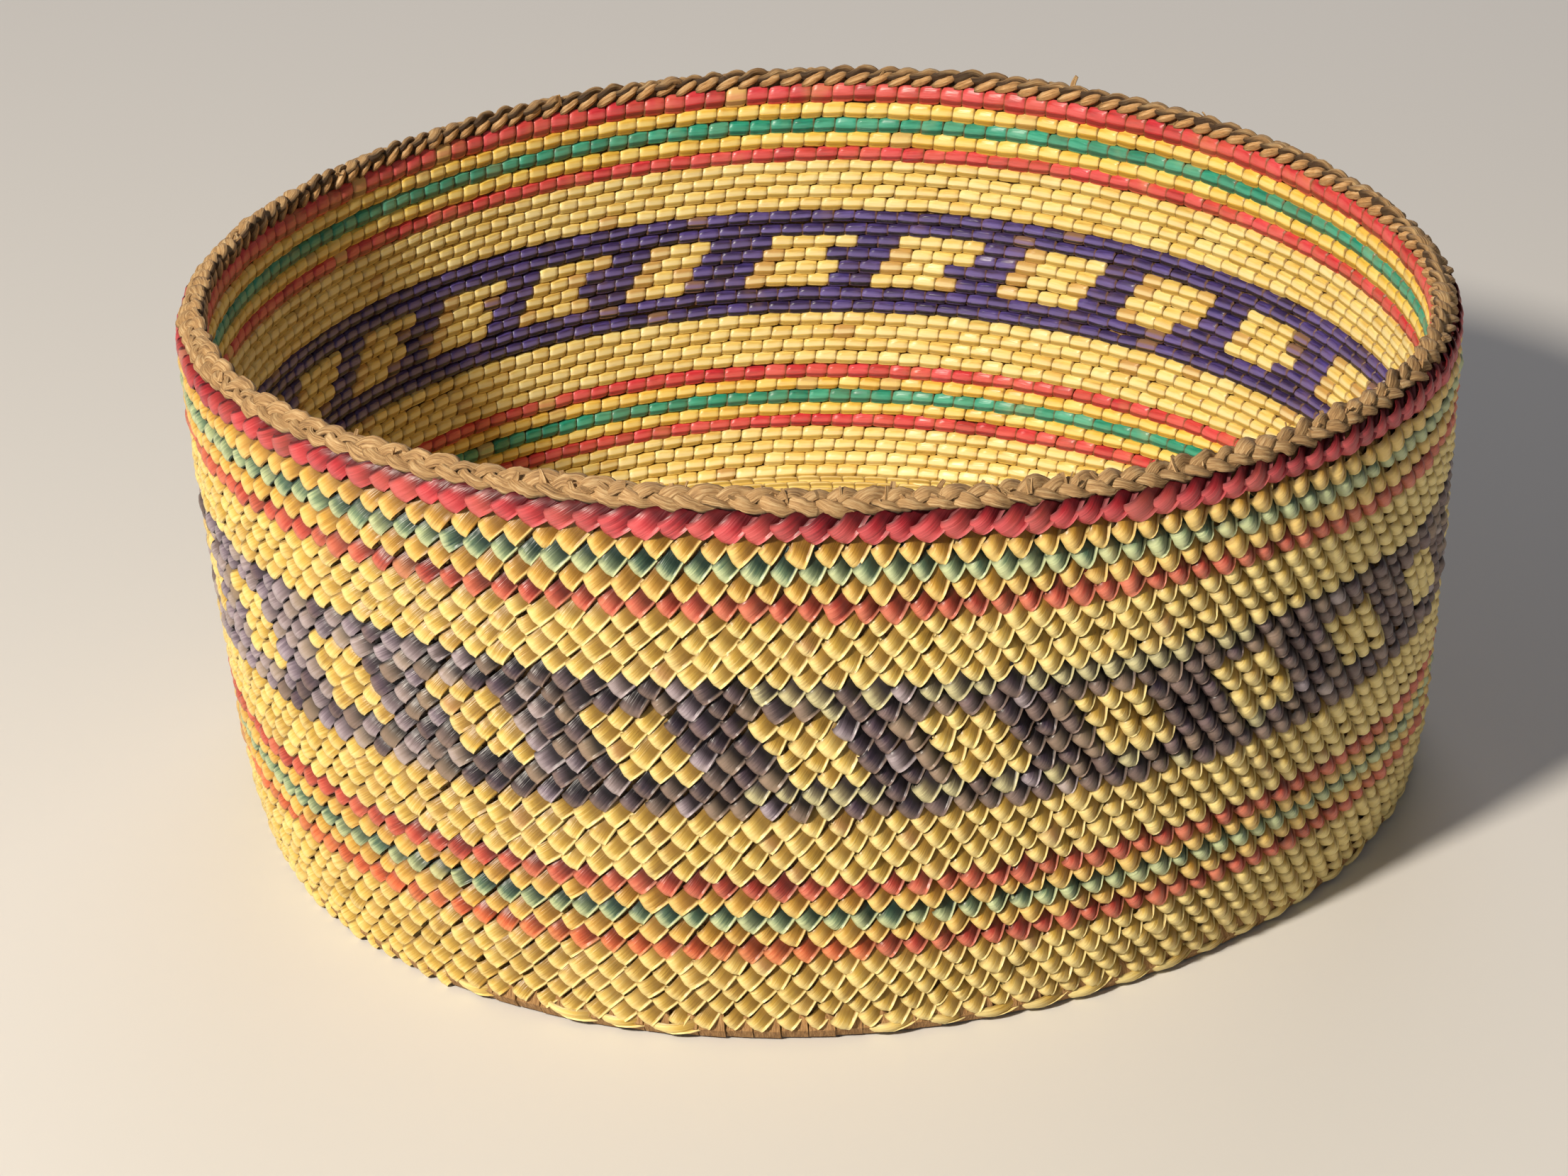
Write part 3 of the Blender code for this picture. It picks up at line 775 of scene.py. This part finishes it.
def buildPlait():
    half = plait["each"] // 2
    for turned in (0, 1):
        way = "front_to_back" if turned else "left_to_right"
        for number in range(-half, half + 1):
            offset = number * plait["pitch"]
            reach = (plait["radius"] ** 2 - (abs(offset) + plait["width"] / 2) ** 2) ** 0.5
            place = np.linspace(-reach, reach, plait["stations"])
            phase = pi * place / plait["pitch"] + pi * (number + turned)
            lift = plait["lift"] * np.tanh(plait["flatness"] * np.cos(phase)) / np.tanh(plait["flatness"])
            beside = offset + plait["sway"][0] * np.sin(place * plait["sway"][1] + number)
            level = plait["level"] + lift
            spots = np.stack([beside, place, level] if turned else [place, beside, level], -1)
            around = np.arctan2(spots[:, 1], spots[:, 0])
            path = (unevenShape(around, np.hypot(spots[:, 0], spots[:, 1]), spots[:, 2]) - middle)[None]
            across, normal = frameAlong(path, np.array([0, 0, 1.0]))
            widthWave = plait["widthWave"][0] * np.sin(place * plait["widthWave"][1] + number * 2)
            halfWidth = plait["width"] / 2 * (1 + widthWave)[None]
            points = ribbonPoints(path, across, normal, halfWidth, plait["thickness"])
            grain = ribbonGrain(points, plait["width"] / mm, place / mm, chance.uniform())
            piece = makePiece(f"plait_{way}_{number + half + 1}", points, ribbonFaces(plait["stations"]),
                              [cedarBrown], grain=grain)
            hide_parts(f"plait_strip_{way}_{number + half + 1}")


buildPlait()
print("middle plaited")

# Rim edge: the cedar warp ends, laid over and plaited along the top like a flat three-strand braid
braid = {
    "strands": 3,
    "waves": 52,  # one wave of a strand is three warps long
    "stations": 1664,
    "around": 10,
    "sidewaysMm": 0.74,  # how far a strand swings either way
    "overUnderMm": 0.34,
    "roughMm": 0.16,
    "halfWidthMm": 0.66,
    "halfThicknessMm": 0.36,
    "tilt": radians(38),  # the braid's face leans outward by this much
    "insetMm": 1.45,
    "liftMm": 1.0,
    "grain": (0.5, 62),  # mm for a radian round the strand, and for a radian round the rim
}


def smoothChance(count, low, high, blur):  # one value for each place round the rim, without a seam
    values = chance.uniform(low, high, count)
    kernel = np.ones(blur) / blur
    return np.convolve(np.concatenate([values[-blur:], values, values[:blur]]), kernel, "same")[blur:-blur]


def tubeRound(path, sideWay, faceWay, halfWidth, halfThickness, ring):  # closed loop of a flattened tube
    bulge = np.sign(np.sin(ring)) * np.abs(np.sin(ring)) ** 0.8
    points = (path[:, None] + sideWay[:, None] * (halfWidth[:, None] * np.cos(ring))[..., None]
              + faceWay[:, None] * (halfThickness[:, None] * bulge)[..., None])
    index = np.arange(len(path) * len(ring)).reshape(-1, len(ring))
    ahead, beside = np.roll(index, -1, axis=0), np.roll(index, -1, axis=1)
    return points, np.stack([index, ahead, np.roll(ahead, -1, axis=1), beside], -1).reshape(-1, 4)


def buildBraid():
    turn = ringTurns(braid["stations"])
    angle = handAngle(turn)
    outward = np.stack([np.cos(angle), np.sin(angle), np.zeros_like(angle)], -1)
    upward = np.array([0, 0, 1.0])
    acrossFace = outward * cos(braid["tilt"]) - upward * sin(braid["tilt"])
    offFace = outward * sin(braid["tilt"]) + upward * cos(braid["tilt"])
    top = wallTop + braid["liftMm"] * mm
    middleLine = unevenShape(angle, basket["rimRadius"] - braid["insetMm"] * mm, top) - middle
    ring = ringTurns(braid["around"])
    points, grains, faces, shade = [], [], [], []
    perWave = braid["stations"] // braid["waves"]
    for strand in range(braid["strands"]):
        phase = braid["waves"] * turn + strand * 2 * pi / braid["strands"]
        swing = braid["sidewaysMm"] * smoothChance(len(turn), 0.2, 1.8, perWave // 2 + 1) * np.sin(phase)
        fullness = smoothChance(len(turn), 0.0, 2.0, perWave // 3)
        rough = smoothChance(len(turn), -0.6, 0.6, 9)
        lift = braid["overUnderMm"] * np.sin(2 * phase) + braid["roughMm"] * rough
        path = middleLine + acrossFace * (swing * mm)[:, None] + offFace * (lift * mm)[:, None]
        along = unit(np.roll(path, -1, axis=0) - np.roll(path, 1, axis=0))
        twist = 0.5 * np.sin(phase * 0.5 + strand) + rough * 0.5
        facing = unit(offFace * np.cos(twist)[:, None] + acrossFace * np.sin(twist)[:, None])
        sideWay = unit(np.cross(along, facing))
        faceWay = np.cross(sideWay, along)
        halfWidth = braid["halfWidthMm"] * fullness * mm
        halfThickness = braid["halfThicknessMm"] * fullness ** 0.5 * mm
        strandPoints, strandFaces = tubeRound(path, sideWay, faceWay, halfWidth, halfThickness, ring)
        grain = np.zeros(strandPoints.shape)
        grain[..., 0] = ring[None, :] * braid["grain"][0]
        grain[..., 1] = (turn * braid["grain"][1])[:, None]
        grain[..., 2] = (np.floor(phase / (2 * pi)) * 0.37 % 1)[:, None]  # a new tone for each wave
        # Painted shade on the underside of each strand and where it passes under the others
        under = np.clip(0.5 - 0.9 * np.sin(ring)[None, :] - 0.5 * np.sin(2 * phase)[:, None], 0, 0.9)
        faces.append(strandFaces + strand * len(turn) * len(ring))
        points.append(strandPoints.reshape(-1, 3))
        grains.append(grain.reshape(-1, 3))
        shade.append(under.ravel())
    piece = makePiece("rim_braid_strands", np.concatenate(points), np.concatenate(faces),
                      [cedarPale], grain=np.concatenate(grains), fadeAndShade=np.concatenate(shade))
    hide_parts("rim_braid")


# Inside the rim each warp end turns over the top row as a short thick nub
nub = {"longMm": 2.7, "thickMm": 0.62, "slope": 0.42, "insetMm": 2.35, "liftMm": 0.75, "rings": 7,
       "around": 8, "aside": 0.35, "taper": 0.86, "turnMm": 0.3}
nubDiffers = {"thick": (0.85, 1.15), "long": (0.92, 1.12), "slope": (0.7, 1.2), "upMm": (-0.1, 0.1),
              "inMm": (-0.08, 0.08)}


def buildNubs():
    count = basket["warps"]
    turn = (np.arange(count) + spacing["phase"] + nub["aside"]) * warpPitch
    place = lengthwise(np.linspace(-0.5, 0.5, nub["rings"]))
    ring = crosswise(ringTurns(nub["around"]))
    full = np.sqrt(np.clip(1 - (2 * place) ** 2 * nub["taper"], 0, 1)) * nub["thickMm"]
    full = full * vary(count, nubDiffers["thick"])
    side = place * nub["longMm"] * vary(count, nubDiffers["long"])
    up = nub["liftMm"] + side * nub["slope"] * vary(count, nubDiffers["slope"]) + full * np.sin(ring)
    up = up + vary(count, nubDiffers["upMm"])
    inward = nub["insetMm"] - 0.5 * place + full * 0.8 * np.cos(ring) + vary(count, nubDiffers["inMm"])
    side, up, inward = np.broadcast_arrays(side, up, inward)
    angle = handAngle(turn[:, None, None] - side / basket["stitchMm"] * warpPitch)
    points = unevenShape(angle, basket["rimRadius"] - inward * mm, wallTop + up * mm) - middle
    grain = grainOf(ring * nub["turnMm"], side, side.shape)
    shade = np.clip(np.abs(place) * 3.2 - 0.9, 0, 0.8) * np.ones(side.shape)  # painted shade where the ends tuck in
    faces = manyFaces(tubeFaces(nub["rings"], nub["around"]), count, nub["rings"] * nub["around"])
    makePiece("rim_inner_nubs", points, faces, [cedarNub], grain=grain, fadeAndShade=shade)


buildBraid()
buildNubs()

# Cut ends of bark that stand up out of the braid, split and curled
fray = {"count": 120, "lengthMm": (0.4, 1.5), "widthMm": (0.15, 0.8), "thicknessMm": 0.13, "stations": 7,
        "crowded": (-0.75, 1.05), "insetMm": (-0.7, 0.9), "liftMm": 0.1}


def buildFrays():
    count = fray["count"]
    turn = chance.uniform(0, 2 * pi, count)
    inFront = count * 3 // 4  # most of them stand up in front
    turn[:inFront] = chance.uniform(*fray["crowded"], inFront)
    angle = handAngle(turn)
    inset = braid["insetMm"] + chance.uniform(*fray["insetMm"], count)
    top = wallTop + (braid["liftMm"] + fray["liftMm"]) * mm
    root = unevenShape(angle, basket["rimRadius"] - inset * mm, top) - middle
    outward = np.stack([np.cos(angle), np.sin(angle), np.zeros(count)], -1)
    onward = np.stack([-np.sin(angle), np.cos(angle), np.zeros(count)], -1)
    lean = chance.uniform(-1.1, 0.9, (count, 1)) * onward + chance.uniform(-0.9, 0.5, (count, 1)) * outward
    start = unit(lean * 0.8 + np.array([0, 0, 1.0]) * chance.uniform(0.35, 1.2, (count, 1)))
    curl = chance.uniform(-0.7, 0.7, (count, 1)) * onward + chance.uniform(-0.5, 0.4, (count, 1)) * outward
    length = chance.uniform(*fray["lengthMm"], (count, 1)) * mm
    step = np.linspace(0, 1, fray["stations"])
    path = (root[:, None] + start[:, None] * (length * step)[..., None]
            + curl[:, None] * (length * 0.45 * step ** 2)[..., None])
    half = chance.uniform(*fray["widthMm"], (count, 1)) * mm / 2 * (1 - 0.35 * step ** 2)[None]
    facing = unit(np.cross(start, onward) + chance.normal(0, 0.4, (count, 3)))
    across, normal = frameAlong(path, np.repeat(facing[:, None], fray["stations"], axis=1))
    points = ribbonPoints(path, across, normal, half, fray["thicknessMm"] * mm)
    grain = ribbonGrain(points, 0.6, step * 2, vary(count, (0, 1)))
    faces = manyFaces(ribbonFaces(fray["stations"]), count, fray["stations"] * 4)
    makePiece("rim_frayed_ends", points, faces, [cedarPale], grain=grain)


buildFrays()
print("rim braided")

# Foot: long bear grass wraps lie along the turn of the wall, each over two warps. On the left
# the wall's own stitches run down to the table, and in places the wraps have worn away.
foot = {
    "wraps": 78,
    "wrapAside": 0.4,
    "wrapHeight": 0.00102,
    "wrapRow": 0.0015,
    "stitchHeight": 0.00098,
    "stitchRow": 0.0014,
    "snug": (radians(-182), radians(-127)),
    "worn": [(radians(-120), radians(-117)), (radians(-100.5), radians(-86.5))],
    "lowest": 0.00003,
}


def within(turn, span):
    angle = frontAngle(turn)
    return (angle > span[0]) & (angle < span[1])


def buildFoot():
    leaned = basket["warpLean"] * rowCount
    wide = (np.arange(foot["wraps"]) * 2 + spacing["phase"] + leaned + foot["wrapAside"]) * warpPitch
    narrow = (np.arange(basket["warps"]) + spacing["phase"] + leaned) * warpPitch
    for span in [foot["snug"]] + foot["worn"]:
        wide = wide[~within(wide, span)]
    narrow = narrow[within(narrow, foot["snug"])]
    sets = [("footWrap", wide, foot["wrapHeight"], foot["wrapRow"]),
            ("diamond", narrow, foot["stitchHeight"], foot["stitchRow"])]
    parts, grains = [], []
    for form, turn, height, rowHeight in sets:
        points, grain = strapPoints(form, turn, np.full(len(turn), height), rowHeight)
        parts.append(thicken(points, strap["thickness"]))
        grains.append(grain)
    points = np.concatenate(parts)
    points[..., 2] = np.maximum(points[..., 2], foot["lowest"])
    piece = makePiece("foot_wraps", points, manyFaces(strapFaces, len(points), perStrap),
                      [grasses["natural"][0]], grain=np.concatenate(grains), fadeAndShade=np.zeros(points.shape[:2]))
    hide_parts("foot_twining")


buildFoot()
print("foot twined")

# Stage, light and camera
view = {
    "distance": 0.5434, "elevation": radians(25.42), "height": 0.05276, "aside": -0.00397, "drop": 0.00877,
    "roll": radians(-1.64), "focalPixels": 7589, "widthPixels": 2212, "sensorMm": 36, "nearest": 0.01,
}
lamps = {
    "key": {"spot": (-0.412, -0.528, 0.55), "size": 0.10, "power": 9.2, "colour": "FFF4E4"},
    "fill": {"spot": (0.05, -0.85, 0.3), "size": 0.35, "power": 0.36, "colour": "F4F4FF"},
    "back": {"spot": (0.1, 0.9, 0.5), "size": 0.6, "power": 2.4, "colour": "F4F4FF"},
}
stage = {"colour": "DCDAD6", "roughness": 0.9, "half": 3.0, "skyStrength": 0.10, "lampsAim": (0, 0, 0.03)}


def placeCamera():
    back = view["distance"] * cos(view["elevation"])
    spot = Vector((0, -back, view["distance"] * sin(view["elevation"]) + view["height"] / 2)) - Vector(middle)
    aim = Vector((view["aside"], 0, view["height"] / 2 - view["drop"])) - Vector(middle)
    forward = (aim - spot).normalized()
    right = forward.cross(Vector((0, 0, 1))).normalized()
    up = right.cross(forward)
    turned = cos(view["roll"]) * right + sin(view["roll"]) * up
    upright = turned.cross(forward)
    camera = bpy.data.objects.new("camera", bpy.data.cameras.new("camera"))
    camera.data.sensor_width = view["sensorMm"]
    camera.data.lens = view["focalPixels"] / view["widthPixels"] * view["sensorMm"]
    camera.data.clip_start = view["nearest"]
    camera.matrix_world = Matrix.Translation(spot) @ Matrix((turned, upright, -forward)).transposed().to_4x4()
    bpy.context.scene.collection.objects.link(camera)
    bpy.context.scene.camera = camera


def addLamp(name, spot, size, power, colour):
    lamp = bpy.data.objects.new(name, bpy.data.lights.new(name, "AREA"))
    lamp.data.shape = "DISK"
    lamp.data.size = size
    lamp.data.energy = power
    lamp.data.color = linear(colour)[:3]
    lamp.location = spot
    lamp.rotation_euler = (Vector(stage["lampsAim"]) - Vector(spot)).to_track_quat("-Z", "Y").to_euler()
    bpy.context.scene.collection.objects.link(lamp)


def makeStage():
    mesh = bpy.data.meshes.new("floor")
    half = stage["half"]
    corners = [(-half, -half, 0), (half, -half, 0), (half, half, 0), (-half, half, 0)]
    mesh.from_pydata(corners, [], [(0, 1, 2, 3)])
    floor = bpy.data.objects.new("floor", mesh)
    material = bpy.data.materials.new("palePaper")
    material.use_nodes = True
    shader = material.node_tree.nodes["Principled BSDF"]
    shader.inputs["Base Color"].default_value = linear(stage["colour"])
    shader.inputs["Roughness"].default_value = stage["roughness"]
    mesh.materials.append(material)
    bpy.context.scene.collection.objects.link(floor)
    world = bpy.data.worlds.new("studio")
    world.use_nodes = True
    sky = world.node_tree.nodes["Background"]
    sky.inputs["Color"].default_value = (1, 1, 1, 1)
    sky.inputs["Strength"].default_value = stage["skyStrength"]
    bpy.context.scene.world = world
    for name, lamp in lamps.items():
        addLamp(name, **lamp)


placeCamera()
makeStage()
bpy.context.scene.view_settings.view_transform = "Standard"
print("stage, lamps and camera set")
